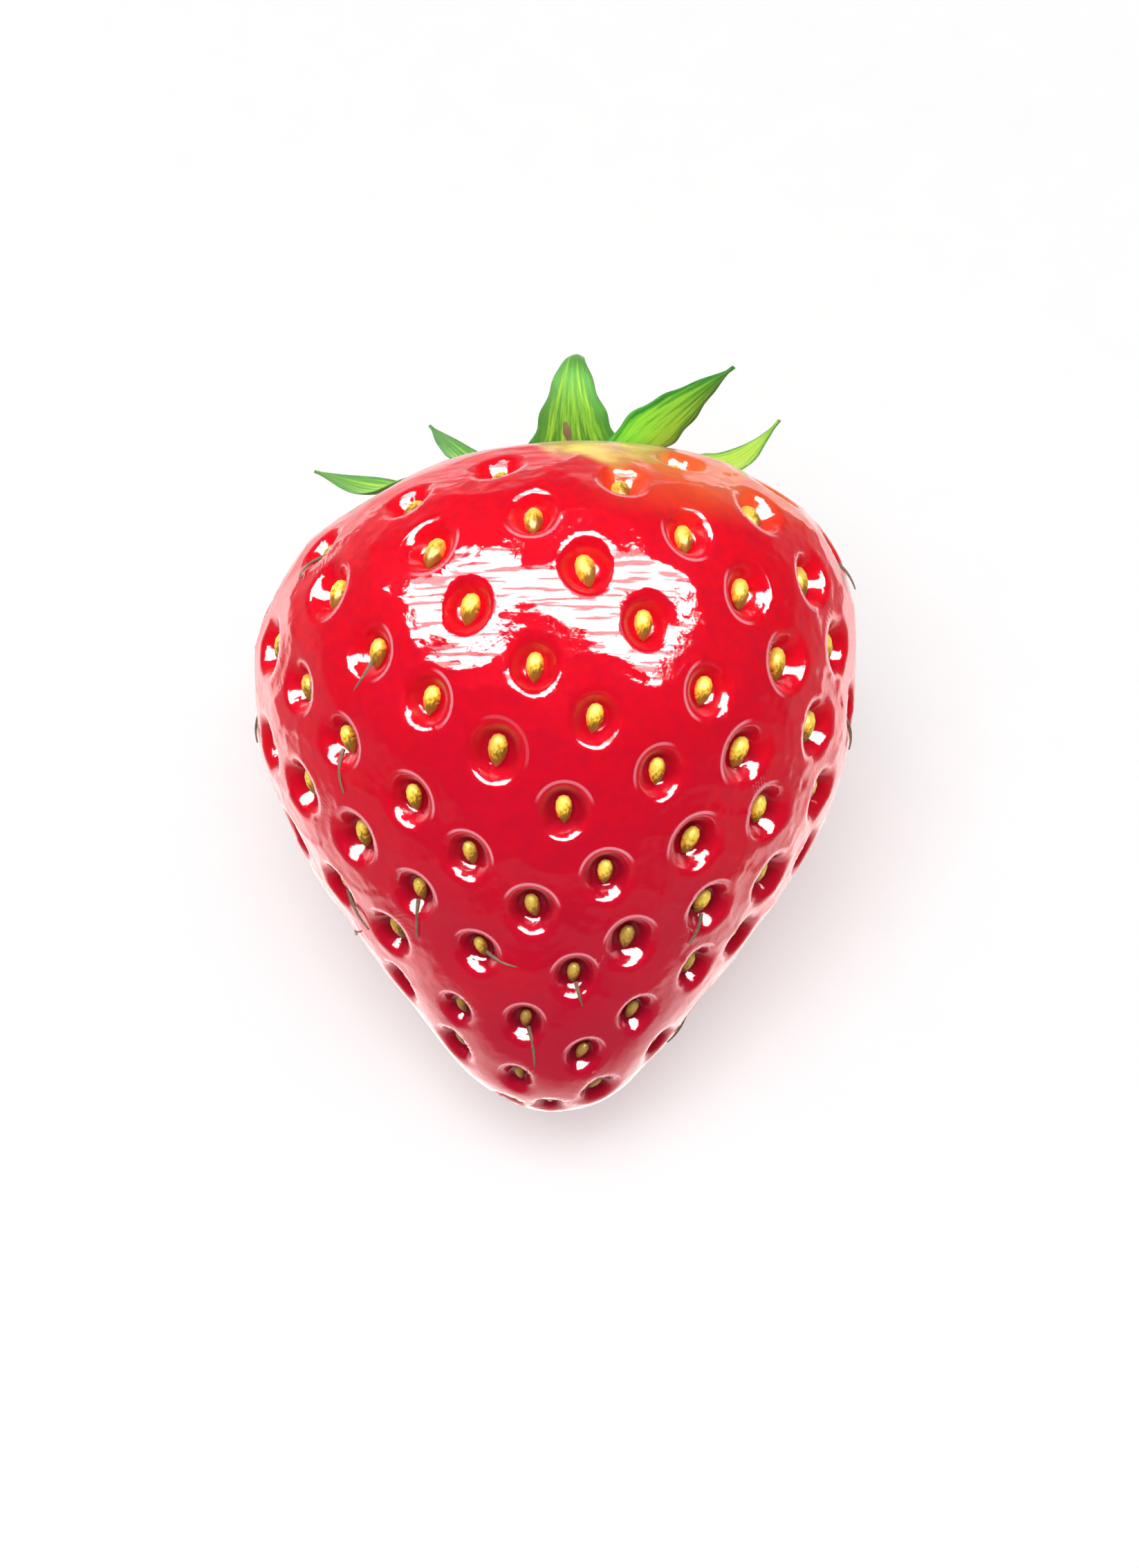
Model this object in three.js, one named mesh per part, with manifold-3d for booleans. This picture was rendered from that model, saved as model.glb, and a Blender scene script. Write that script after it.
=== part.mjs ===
// A ripe garden strawberry with its calyx and a short cut stem, lying on its side as a picked berry does.
// All sizes are in millimetres.
//
// Each piece is first shaped upright in the berry's own frame: the tip is at the origin, the axis runs
// up +Z to the calyx, the face to look at is towards -Y, and its right-hand side is towards +X.
// The finished berry is then laid on its far side, so that this face looks up.
// An azimuth is measured about the axis: 0 is the face, 90 the right, 180 the far side, 270 the left.

import * as THREE from "three";
import { ConvexHull } from "three/addons/math/ConvexHull.js";
import { mergeVertices } from "three/addons/utils/BufferGeometryUtils.js";
import Module from "manifold-3d";

const wasm = await Module();
wasm.setup();

const DEGREE = Math.PI / 180;

// The fruit's outline from the tip to the dip under the calyx, as [radius, height above the tip].
const OUTLINE = [
  [0, 0],
  [2.9, 0.75],
  [5.8, 3.2],
  [9.9, 8.3],
  [13.9, 13.8],
  [16.8, 20.0],
  [17.5, 25.4],
  [16.9, 29.9],
  [14.4, 33.9],
  [9.9, 36.8],
  [6.0, 37.95],
  [4.0, 37.3],
  [2.2, 36.4],
  [0, 36.0],
];
const DEPTH_SHARE = 0.94; // front to back, against the width
const HEART_HEIGHT = 20; // a point on the axis that sees the whole skin
const TOP_LEAN = 1.6; // how far the calyx end leans to the right
const LEAN_FROM = 25;
const LEAN_TO = 38;

// The achenes follow the golden-angle spiral, more crowded towards the tip.
const ACHENES = 140;
const GOLDEN_ANGLE = Math.PI * (3 - Math.sqrt(5));
const SPIRAL_START = -2 * DEGREE;
const CROWDING = 1.24;
const SEEDED_SHARE = 0.9; // of the skin's area, counted from the tip
const SCATTER = 0.4;
const ACHENE_LENGTH = 1.95;
const ACHENE_WIDTH = 1.25;
const ACHENE_HEIGHT = 0.62;
const ACHENE_TAPER = 0.28; // the end towards the berry's tip is the narrow one
const ACHENE_TURN = 16 * DEGREE;
const ACHENE_CREST = 0.1; // the highest point, from the middle towards the calyx
const SHOULDER_SPREAD = 0.7; // the ring below the highest point, as shares of the achene's outline and height
const SHOULDER_HEIGHT = 0.82;
const SIZE_SCATTER = 0.1;
const RING_POINTS = 8; // corners round an achene or a pit
const PIT_RADIUS = 1.75;
const PIT_DEPTH = 0.8;
const PIT_FLOOR = 0.6; // the pit's level middle, as a share of its radius
const PIT_INNER_RING = 0.68; // corners on the slope, as a share of the pit's radius
const PIT_OWN_SHARE = 0.8; // of a pit's radius, where no neighbour's corners lie
const TIP_SCALE = 0.7; // achenes and pits at the tip, against those above FULL_SIZE_HEIGHT
const FULL_SIZE_HEIGHT = 15;
const SKIN_POINTS = 900; // spread over the skin between the pits
const SKIN_MARGIN = 0.7; // from a pit's edge to the nearest of them

// How the berry lies: its axis rises from the tip to the calyx, and the skin is pressed flat under its weight.
const AXIS_RISE = 26 * DEGREE;
const PRESSED_DEPTH = 0.35;
const PRESSED_CLEAR = 3.4; // no pit within this distance of the pressed spot's middle
const SLAB_WIDTH = 80; // the block that cuts the pressed spot level
const SLAB_THICKNESS = 20;

// The calyx is a disc sunk in the fruit's dip, with blades grown out of it.
const HUB_PROFILE = [
  [0, 36.35],
  [1.5, 36.5],
  [2.4, 36.95],
  [2.0, 37.35],
  [0, 37.35],
];
const HUB_SIDES = 20;
const LOBE_ROOT_HEIGHT = 36.95;
const LOBE_THICKNESS = 0.6;
const LOBE_STEPS = 12;
const LOBE_STRIPS = 4;
const LOBE_GUTTER = 0.2; // how far the edges fold up, as a share of the half width
const LOBE_BASE_SHARE = 0.42; // of the full width, at the root
const LOBE_TIP_HALF_WIDTH = 0.25;

// The calyx lobes. A midrib is a smooth line through points, each its distance from the hub's middle and its
// height above the roots. A lobe is widest at the share "peak" of its length. From there to the tip a higher
// "bulge" keeps it wide for longer, and a higher "point" makes it slimmer. The blade turns about its midrib by
// "roll", in degrees, between the shares "rolled" of its length, and its tip is swept sideways by "sway".
const PLAIN_LOBE = { bulge: 1.5, point: 1, roll: 0, rolled: [0, 0.5], sway: 0 };
const LOBES = [
  {
    azimuth: 351,
    midrib: [[1, 0], [2.6, 0.7], [3.7, 2.3], [4.2, 4.4], [3.9, 6.2], [2.8, 6.9], [1.5, 6.6]],
    width: 6.5,
    peak: 0.12,
    bulge: 1,
    point: 1.15,
    sway: 0.15,
  },
  {
    azimuth: 43,
    midrib: [[1, 0], [2.6, 0.7], [4.3, 1.35], [6.9, 2.5], [9.8, 3.7], [12.6, 4.7]],
    width: 3.2,
    peak: 0.42,
    bulge: 1.4,
    point: 1.15,
    roll: -30,
    rolled: [0.08, 0.5],
  },
  { azimuth: 77, midrib: [[1, 0], [2.4, 0.2], [3.6, 0.6]], width: 2.0, peak: 0.4 },
  {
    azimuth: 114,
    midrib: [[1, 0], [3.2, 0.8], [6, 1.5], [8.6, 1.5], [10.3, 2.2], [11.7, 3.4], [13, 4.9]],
    width: 3.7,
    peak: 0.6,
    bulge: 1,
    point: 1.3,
    roll: 32,
    rolled: [0.35, 0.65],
  },
  {
    azimuth: 146,
    midrib: [[1, 0], [3.2, 0.8], [6, 1.6], [9.4, 0.8], [12.8, -1.3]],
    width: 4.6,
    peak: 0.4,
    point: 1.2,
  },
  {
    azimuth: 188,
    midrib: [[1, 0], [3.2, 0.8], [6, 1.6], [9.4, 0.9], [13.4, -1.1]],
    width: 3.6,
    peak: 0.4,
    point: 1.2,
  },
  {
    azimuth: 222,
    midrib: [[1, 0], [3.2, 0.8], [6, 1.6], [8.5, 2.0], [11, 3.3], [13.9, 5.7]],
    width: 3.4,
    peak: 0.66,
    bulge: 1.2,
    roll: -10,
    rolled: [0.5, 0.8],
  },
  {
    azimuth: 247,
    midrib: [[1, 0], [3.2, 0.8], [6, 1.45], [9, 0.8], [13.5, 0.6], [17.5, 2.1]],
    width: 3.0,
    peak: 0.72,
    bulge: 1.3,
    roll: -34,
    rolled: [0.55, 0.8],
  },
  { azimuth: 291, midrib: [[1, 0], [2.4, 0.2], [3.6, 0.6]], width: 2.6, peak: 0.4 },
  { azimuth: 325, midrib: [[1, 0], [2.4, 0.2], [3.5, 0.55]], width: 2.0, peak: 0.4 },
].map((lobe) => ({ ...PLAIN_LOBE, ...lobe }));

const STEM_RADIUS = 0.85;
const STEM_LENGTH = 3.2;
const STEM_SIDES = 10;
const STEM_LEAN = 5 * DEGREE;
const STEM_PROFILE = [ // as shares of the radius and the length: a swollen foot and a cut end
  [0, 0],
  [1.2, 0],
  [1, 0.35],
  [0.95, 0.8],
  [1.08, 1],
  [0, 1],
];
const CONTACT_GAP = 0.3;

const FRUIT_MATERIAL = new THREE.MeshStandardMaterial({ color: 0xcf0f1d, roughness: 0.2, metalness: 0 });
const CALYX_MATERIAL = new THREE.MeshStandardMaterial({ color: 0x6f9f2f, roughness: 0.55, metalness: 0 });
const STEM_MATERIAL = new THREE.MeshStandardMaterial({ color: 0x8fae4a, roughness: 0.55, metalness: 0 });

// A repeatable draw between -1 and 1, one for each achene and use.
function draw(index, use) {
  const mixed = Math.sin(index * 12.9898 + use * 78.233) * 43758.5453;
  return 2 * (mixed - Math.floor(mixed)) - 1;
}

// Reads the value at x from a table of rising xs and their values.
function lookUp(xs, values, x) {
  let low = 0;
  let high = xs.length - 1;
  while (high - low > 1) {
    const middle = (low + high) >> 1;
    if (xs[middle] > x) high = middle;
    else low = middle;
  }
  const share = THREE.MathUtils.clamp((x - xs[low]) / (xs[high] - xs[low]), 0, 1);
  return THREE.MathUtils.lerp(values[low], values[high], share);
}

// The outline as close points. It is mirrored past both ends, so that tip and dip are round.
function outlinePoints(steps = 600) {
  const mirrored = ([radius, height]) => new THREE.Vector2(-radius, height);
  const points = OUTLINE.map(([radius, height]) => new THREE.Vector2(radius, height));
  const curve = new THREE.SplineCurve([mirrored(OUTLINE[1]), ...points, mirrored(OUTLINE.at(-2))]);
  const spans = OUTLINE.length + 1;
  return Array.from({ length: steps + 1 }, (_, i) => curve.getPoint((1 + ((spans - 2) * i) / steps) / spans));
}

const outline = outlinePoints();
const polarAngles = outline.map((p) => Math.atan2(Math.abs(p.x), HEART_HEIGHT - p.y)); // 0 at the tip
const reaches = outline.map((p) => Math.hypot(p.x, p.y - HEART_HEIGHT));

// The share of the skin's area between the tip and each outline point.
function areaShares() {
  const sums = [0];
  for (let i = 1; i < outline.length; i++) {
    const band = (outline[i].x + outline[i - 1].x) * outline[i].distanceTo(outline[i - 1]);
    sums.push(sums[i - 1] + band);
  }
  return sums.map((sum) => sum / sums.at(-1));
}

function leanAt(height) {
  return TOP_LEAN * THREE.MathUtils.smoothstep(height, LEAN_FROM, LEAN_TO);
}

// The smooth skin, in a direction seen from the heart.
function skinPoint(direction) {
  const polar = Math.acos(THREE.MathUtils.clamp(-direction.z, -1, 1));
  const point = direction.clone().multiplyScalar(lookUp(polarAngles, reaches, polar));
  point.z += HEART_HEIGHT;
  point.x += leanAt(point.z);
  point.y *= DEPTH_SHARE;
  return point;
}

// The direction from the heart in which the skin nearest to a point lies.
function directionTo(point) {
  const x = point.x - leanAt(point.z);
  return new THREE.Vector3(x, point.y / DEPTH_SHARE, point.z - HEART_HEIGHT).normalize();
}

function skinNormal(direction) {
  const step = 0.002;
  const level = new THREE.Vector3(-direction.y, direction.x, 0);
  if (level.length() < step) level.set(1, 0, 0);
  level.normalize();
  const steep = direction.clone().cross(level);
  const across = (way) => {
    const ahead = skinPoint(direction.clone().addScaledVector(way, step).normalize());
    return ahead.sub(skinPoint(direction.clone().addScaledVector(way, -step).normalize()));
  };
  const normal = across(level).cross(across(steep)).normalize();
  return normal.dot(direction) < 0 ? normal.negate() : normal;
}

function directionAt(azimuth, polar) {
  return new THREE.Vector3(
    Math.sin(polar) * Math.sin(azimuth),
    -Math.sin(polar) * Math.cos(azimuth),
    -Math.cos(polar),
  );
}

// The way down, seen by the upright berry, once it is laid on its far side.
const DOWN = new THREE.Vector3(0, Math.cos(AXIS_RISE), -Math.sin(AXIS_RISE));

// The lowest point of the smooth skin when the berry lies down, pressed in to the level it rests on.
function restingPoint() {
  const steps = 2000;
  let lowest = skinPoint(directionAt(Math.PI, 0));
  for (let i = 1; i < steps; i++) {
    const point = skinPoint(directionAt(Math.PI, (Math.PI * i) / steps));
    if (point.dot(DOWN) > lowest.dot(DOWN)) lowest = point;
  }
  return lowest.addScaledVector(DOWN, -PRESSED_DEPTH);
}

const rest = restingPoint();

// Each achene's place, its own directions on the skin, and its size against a full-sized one.
function achenePlaces() {
  const shares = areaShares();
  const places = [];
  for (let i = 0; i < ACHENES; i++) {
    const share = SEEDED_SHARE * Math.pow((i + 0.5) / ACHENES, CROWDING);
    const polar = lookUp(shares, polarAngles, share);
    const first = skinPoint(directionAt(SPIRAL_START + i * GOLDEN_ANGLE, polar));
    first.x += SCATTER * draw(i, 1);
    first.y += SCATTER * draw(i, 2);
    first.z += SCATTER * draw(i, 3);
    const direction = directionTo(first);
    const centre = skinPoint(direction);
    const normal = skinNormal(direction);
    const up = new THREE.Vector3(0, 0, 1).addScaledVector(normal, -normal.z).normalize();
    up.applyAxisAngle(normal, ACHENE_TURN * draw(i, 4));
    const right = up.clone().cross(normal);
    const grown = THREE.MathUtils.smoothstep(centre.z, 0, FULL_SIZE_HEIGHT);
    const size = THREE.MathUtils.lerp(TIP_SCALE, 1, grown) * (1 + SIZE_SCATTER * draw(i, 5));
    places.push({ centre, up, right, size });
  }
  return places.filter((place) => place.centre.distanceTo(rest) > PRESSED_CLEAR);
}

const places = achenePlaces();

// How deep the pit of the nearest achene is at a point of the smooth skin.
function pitDepth(point) {
  let deepest = 0;
  for (const { centre, size } of places) {
    const away = point.distanceTo(centre) / (PIT_RADIUS * size);
    if (away < 1) deepest = Math.max(deepest, size * PIT_DEPTH * (1 - THREE.MathUtils.smoothstep(away, PIT_FLOOR, 1)));
  }
  return deepest;
}

// The points that draw one achene in its pit, as { direction, lift }: lift is the height above the pit's own relief.
function achenePoints({ centre, up, right, size }) {
  const at = (across, along) =>
    directionTo(centre.clone().addScaledVector(right, across).addScaledVector(up, along));
  const ovalRing = (share, lift) =>
    Array.from({ length: RING_POINTS }, (_, i) => {
      const angle = (2 * Math.PI * i) / RING_POINTS;
      const across = (ACHENE_WIDTH / 2) * Math.sin(angle) * (1 + ACHENE_TAPER * Math.cos(angle));
      return { direction: at(size * share * across, size * share * (ACHENE_LENGTH / 2) * Math.cos(angle)), lift };
    });
  const roundRing = (radius) =>
    Array.from({ length: RING_POINTS }, (_, i) => {
      const angle = (2 * Math.PI * (i + 0.5)) / RING_POINTS;
      return { direction: at(size * radius * Math.sin(angle), size * radius * Math.cos(angle)), lift: 0 };
    });
  return [
    { direction: at(0, ACHENE_CREST * size), lift: size * ACHENE_HEIGHT },
    ...ovalRing(SHOULDER_SPREAD, size * ACHENE_HEIGHT * SHOULDER_HEIGHT),
    ...ovalRing(1, 0),
    ...roundRing(PIT_RADIUS * PIT_INNER_RING),
    ...roundRing(PIT_RADIUS),
  ];
}

// Evenly spread directions, for the skin between the pits.
function skinDirections() {
  const directions = Array.from({ length: SKIN_POINTS }, (_, i) =>
    directionAt(i * GOLDEN_ANGLE, Math.acos(1 - (2 * (i + 0.5)) / SKIN_POINTS)),
  );
  return directions.filter((direction) => {
    const point = skinPoint(direction);
    return places.every(({ centre, size }) => point.distanceTo(centre) > size * PIT_RADIUS + SKIN_MARGIN);
  });
}

// One closed surface: the directions are joined up by their hull on a ball, and each is then moved out to the skin.
function fruitGeometry() {
  const marks = skinDirections().map((direction) => ({ direction, lift: 0 }));
  for (const place of places) {
    for (const point of achenePoints(place)) {
      const skin = skinPoint(point.direction);
      const taken = places.some(
        (other) => other !== place && skin.distanceTo(other.centre) < other.size * PIT_RADIUS * PIT_OWN_SHARE,
      );
      if (!taken) marks.push(point);
    }
  }
  const corners = marks.map(({ direction, lift }) => {
    const skin = skinPoint(direction);
    direction.corner = skin.clone().addScaledVector(skinNormal(direction), lift - pitDepth(skin));
    return direction;
  });
  const positions = [];
  for (const face of new ConvexHull().setFromPoints(corners).faces) {
    let edge = face.edge;
    do {
      positions.push(...edge.head().point.corner.toArray());
      edge = edge.next;
    } while (edge !== face.edge);
  }
  return new THREE.BufferGeometry().setAttribute("position", new THREE.Float32BufferAttribute(positions, 3));
}

function solidFrom(geometry) {
  const bare = geometry.clone();
  bare.deleteAttribute("normal");
  bare.deleteAttribute("uv");
  const merged = mergeVertices(bare, 1e-4);
  return new wasm.Manifold(
    new wasm.Mesh({
      numProp: 3,
      vertProperties: merged.getAttribute("position").array,
      triVerts: new Uint32Array(merged.index.array),
    }),
  );
}

function geometryFrom(solid) {
  const mesh = solid.getMesh();
  const geometry = new THREE.BufferGeometry();
  geometry.setAttribute("position", new THREE.Float32BufferAttribute(mesh.vertProperties, 3));
  geometry.setIndex(new THREE.Uint32BufferAttribute(mesh.triVerts, 1));
  geometry.computeVertexNormals();
  return geometry;
}

// The fruit, with the far side cut level where it rests.
function fruit() {
  const slab = new THREE.BoxGeometry(SLAB_WIDTH, SLAB_WIDTH, SLAB_THICKNESS);
  const turn = new THREE.Quaternion().setFromUnitVectors(new THREE.Vector3(0, 0, -1), DOWN);
  const middle = rest.clone().addScaledVector(DOWN, SLAB_THICKNESS / 2);
  slab.applyMatrix4(new THREE.Matrix4().compose(middle, turn, new THREE.Vector3(1, 1, 1)));
  const pressed = solidFrom(fruitGeometry()).subtract(solidFrom(slab));
  const mesh = new THREE.Mesh(geometryFrom(pressed), FRUIT_MATERIAL);
  mesh.name = "fruit";
  return mesh;
}

// The half width of a lobe at a share of its length.
function lobeHalfWidth({ width, peak, bulge, point }, along) {
  const swell = LOBE_BASE_SHARE + (1 - LOBE_BASE_SHARE) * Math.sin(((Math.PI / 2) * along) / peak);
  const narrowing = (1 - Math.max(0, (along - peak) / (1 - peak)) ** bulge) ** point;
  return Math.max((width / 2) * (along < peak ? swell : narrowing), LOBE_TIP_HALF_WIDTH);
}

// One lobe as a closed arched blade. Both faces are split into triangles alike.
function lobeGeometry(lobe) {
  const outwards = directionAt(lobe.azimuth * DEGREE, Math.PI / 2);
  const sideways = new THREE.Vector3(0, 0, 1).cross(outwards);
  const midrib = new THREE.SplineCurve(lobe.midrib.map(([away, height]) => new THREE.Vector2(away, height)));
  const corner = (i, j, face) => {
    const along = i / LOBE_STEPS;
    const place = midrib.getPointAt(along);
    const slope = midrib.getTangentAt(along);
    const forwards = outwards.clone().multiplyScalar(slope.x).setZ(slope.y);
    const turned = THREE.MathUtils.smoothstep(along, ...lobe.rolled);
    const side = sideways.clone().applyAxisAngle(forwards, lobe.roll * DEGREE * turned);
    const above = forwards.clone().cross(side);
    const half = lobeHalfWidth(lobe, along);
    const across = (2 * j) / LOBE_STRIPS - 1;
    return new THREE.Vector3(TOP_LEAN, 0, LOBE_ROOT_HEIGHT + place.y)
      .addScaledVector(outwards, place.x)
      .addScaledVector(sideways, lobe.sway * along ** 2)
      .addScaledVector(side, half * across)
      .addScaledVector(above, half * LOBE_GUTTER * across * across + (face - 0.5) * LOBE_THICKNESS);
  };
  const positions = [];
  const add = (...corners) => corners.forEach((point) => positions.push(...point.toArray()));
  const quad = (a, b, c, d) => add(a, b, c, a, c, d);
  for (let i = 0; i < LOBE_STEPS; i++) {
    for (let j = 0; j < LOBE_STRIPS; j++) {
      const [a, b, c, d] = [corner(i, j, 1), corner(i + 1, j, 1), corner(i + 1, j + 1, 1), corner(i, j + 1, 1)];
      const [e, f, g, h] = [corner(i, j, 0), corner(i + 1, j, 0), corner(i + 1, j + 1, 0), corner(i, j + 1, 0)];
      quad(a, b, c, d);
      add(e, g, f, e, h, g);
    }
    const last = LOBE_STRIPS;
    quad(corner(i, 0, 0), corner(i + 1, 0, 0), corner(i + 1, 0, 1), corner(i, 0, 1));
    quad(corner(i + 1, last, 0), corner(i, last, 0), corner(i, last, 1), corner(i + 1, last, 1));
  }
  for (let j = 0; j < LOBE_STRIPS; j++) {
    const end = LOBE_STEPS;
    quad(corner(0, j + 1, 0), corner(0, j, 0), corner(0, j, 1), corner(0, j + 1, 1));
    quad(corner(end, j, 0), corner(end, j + 1, 0), corner(end, j + 1, 1), corner(end, j, 1));
  }
  return new THREE.BufferGeometry().setAttribute("position", new THREE.Float32BufferAttribute(positions, 3));
}

function latheGeometry(profile, sides) {
  const points = profile.map(([radius, height]) => new THREE.Vector2(radius, height));
  return new THREE.LatheGeometry(points, sides).rotateX(Math.PI / 2);
}

function calyx() {
  const disc = solidFrom(latheGeometry(HUB_PROFILE, HUB_SIDES).translate(TOP_LEAN, 0, 0));
  const grown = LOBES.reduce((solid, lobe) => solid.add(solidFrom(lobeGeometry(lobe))), disc);
  const mesh = new THREE.Mesh(geometryFrom(grown), CALYX_MATERIAL);
  mesh.name = "calyx";
  return mesh;
}

// The stub of the stalk, cut square.
function stem() {
  const profile = STEM_PROFILE.map(([radius, height]) => [STEM_RADIUS * radius, STEM_LENGTH * height]);
  const mesh = new THREE.Mesh(latheGeometry(profile, STEM_SIDES), STEM_MATERIAL);
  mesh.name = "stem";
  mesh.position.set(TOP_LEAN, 0, HUB_PROFILE.at(-1)[1] + CONTACT_GAP);
  mesh.rotation.y = -STEM_LEAN;
  return mesh;
}

// The laid berry, with the middle of its pressed spot at the origin.
const strawberry = new THREE.Group();
const upright = new THREE.Group();
upright.add(fruit(), calyx(), stem());
upright.rotation.x = AXIS_RISE - Math.PI / 2;
upright.position.copy(rest.clone().applyEuler(upright.rotation).negate());
strawberry.add(upright);

export default strawberry;
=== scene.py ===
"""A ripe strawberry with its calyx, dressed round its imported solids."""

from math import cos, pi, radians, sin, sqrt
from typing import NamedTuple

import bpy
import numpy as np
from bpy.props import FloatProperty, FloatVectorProperty, PointerProperty
from mathutils import Matrix, Vector, noise


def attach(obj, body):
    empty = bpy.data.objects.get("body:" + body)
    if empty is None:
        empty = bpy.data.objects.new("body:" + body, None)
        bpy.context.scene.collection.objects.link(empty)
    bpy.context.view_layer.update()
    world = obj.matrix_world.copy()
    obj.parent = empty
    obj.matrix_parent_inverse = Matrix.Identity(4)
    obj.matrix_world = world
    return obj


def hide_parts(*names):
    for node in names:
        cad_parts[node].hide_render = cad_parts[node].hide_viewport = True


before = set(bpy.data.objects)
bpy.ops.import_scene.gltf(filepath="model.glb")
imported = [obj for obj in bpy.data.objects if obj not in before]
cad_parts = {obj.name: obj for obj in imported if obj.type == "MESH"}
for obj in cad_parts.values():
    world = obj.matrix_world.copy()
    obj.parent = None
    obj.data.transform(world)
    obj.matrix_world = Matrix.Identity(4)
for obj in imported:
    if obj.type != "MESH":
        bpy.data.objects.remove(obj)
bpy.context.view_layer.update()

bl_info = {
    "name": "Strawberry",
    "version": (1, 0, 0),
    "blender": (4, 5, 0),
    "location": "View3D > Sidebar > Strawberry",
    "description": "Models a ripe strawberry with its achenes, calyx and cut stem",
    "category": "Add Mesh",
}

MM = 0.001

# The berry's own frame: the tip is at the origin, the axis runs up +Z to the calyx, the face to look
# at is towards -Y, and its right-hand side is towards +X. An azimuth is 0 at the face and 90 at the right.
OUTLINE = MM * np.array(
    [
        [0, 0],
        [2.9, 0.75],
        [5.8, 3.2],
        [9.9, 8.3],
        [13.9, 13.8],
        [16.8, 20.0],
        [17.5, 25.4],
        [16.9, 29.9],
        [14.4, 33.9],
        [9.9, 36.8],
        [6.0, 37.95],
        [4.0, 37.3],
        [2.2, 36.4],
        [0, 36.0],
    ]
)
BERRY_HEIGHT = 38 * MM
DEPTH_SHARE = 0.94
HEART = np.array([0, 0, 20 * MM])
TOP_LEAN = 1.6 * MM
LEAN_FROM = 25 * MM
LEAN_TO = 38 * MM
AXIS_RISE = radians(26)
PRESSED_DEPTH = 0.35 * MM
PRESSED_CLEAR = 3.4 * MM

ACHENES = 140
GOLDEN_ANGLE = pi * (3 - sqrt(5))
SPIRAL_START = radians(-2)
CROWDING = 1.24
SEEDED_SHARE = 0.9
SCATTER = 0.4 * MM
ACHENE_TURN = radians(16)
SIZE_SCATTER = 0.1
TIP_SCALE = 0.7
FULL_SIZE_HEIGHT = 15 * MM

HUB = np.array([TOP_LEAN, 0, 36.95 * MM])
HUB_RADIUS = 2.4 * MM
STEM_FOOT = HUB + np.array([0, 0, 0.7 * MM])
STEM_RADIUS = 0.85 * MM
STEM_LENGTH = 3.2 * MM
STEM_LEAN = radians(5)


class Lobe(NamedTuple):
    """A calyx lobe. Its midrib is distances from the hub and heights above the roots, and like its full
    width and its sway to one side it is in millimetres. It is widest at the share "peak" of its length. A
    higher "bulge" keeps it wide for longer, and a higher "point" makes it slimmer. It turns about its midrib
    by "roll", in degrees, between the shares "rolled" of its length. "light" is how light its green is, a
    painted light and shade given lobe by lobe, and "cool" is how bluish its green is."""

    azimuth: float
    midrib: list
    width: float
    peak: float
    light: float
    bulge: float = 1.5
    point: float = 1
    roll: float = 0
    rolled: tuple = (0, 0.5)
    sway: float = 0
    cool: float = 0


LOBES = [
    Lobe(
        351,
        [[1, 0], [2.6, 0.7], [3.7, 2.3], [4.2, 4.4], [3.9, 6.2], [2.8, 6.9], [1.5, 6.6]],
        width=6.5,
        peak=0.12,
        bulge=1,
        point=1.15,
        sway=0.15,
        light=0.0,
    ),
    Lobe(
        43,
        [[1, 0], [2.6, 0.7], [4.3, 1.35], [6.9, 2.5], [9.8, 3.7], [12.6, 4.7]],
        width=3.2,
        peak=0.42,
        bulge=1.4,
        point=1.15,
        roll=-30,
        rolled=(0.08, 0.5),
        light=0.42,
        cool=0.9,
    ),
    Lobe(77, [[1, 0], [2.4, 0.2], [3.6, 0.6]], width=2.0, peak=0.4, light=0.5),
    Lobe(
        114,
        [[1, 0], [3.2, 0.8], [6, 1.5], [8.6, 1.5], [10.3, 2.2], [11.7, 3.4], [13, 4.9]],
        width=3.7,
        peak=0.6,
        bulge=1,
        point=1.3,
        roll=32,
        rolled=(0.35, 0.65),
        light=0.7,
    ),
    Lobe(
        146,
        [[1, 0], [3.2, 0.8], [6, 1.6], [9.4, 0.8], [12.8, -1.3]],
        width=4.6,
        peak=0.4,
        point=1.2,
        light=0.4,
    ),
    Lobe(
        188,
        [[1, 0], [3.2, 0.8], [6, 1.6], [9.4, 0.9], [13.4, -1.1]],
        width=3.6,
        peak=0.4,
        point=1.2,
        light=0.6,
    ),
    Lobe(
        222,
        [[1, 0], [3.2, 0.8], [6, 1.6], [8.5, 2.0], [11, 3.3], [13.9, 5.7]],
        width=3.4,
        peak=0.66,
        bulge=1.2,
        roll=-10,
        rolled=(0.5, 0.8),
        light=0.2,
    ),
    Lobe(
        247,
        [[1, 0], [3.2, 0.8], [6, 1.45], [9, 0.8], [13.5, 0.6], [17.5, 2.1]],
        width=3.0,
        peak=0.72,
        bulge=1.3,
        roll=-34,
        rolled=(0.55, 0.8),
        light=0.35,
    ),
    Lobe(291, [[1, 0], [2.4, 0.2], [3.6, 0.6]], width=2.6, peak=0.4, light=0.5),
    Lobe(325, [[1, 0], [2.4, 0.2], [3.5, 0.55]], width=2.0, peak=0.4, light=0.5),
]
LOBE_BASE_SHARE = 0.42
LOBE_TIP_HALF_WIDTH = 0.12 * MM
LOBE_GUTTER = 0.2
MIDRIB_DEPTH = 0.05 * MM
VEIN_DEPTH = 0.03 * MM
VEIN_SHARES = 0.38, 0.7
BLADE_STEPS_ALONG = 44
BLADE_STEPS_ACROSS = 18
DISC_HALF_DEPTH = 0.32 * MM
DISC_LIGHT = 0.8

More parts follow.
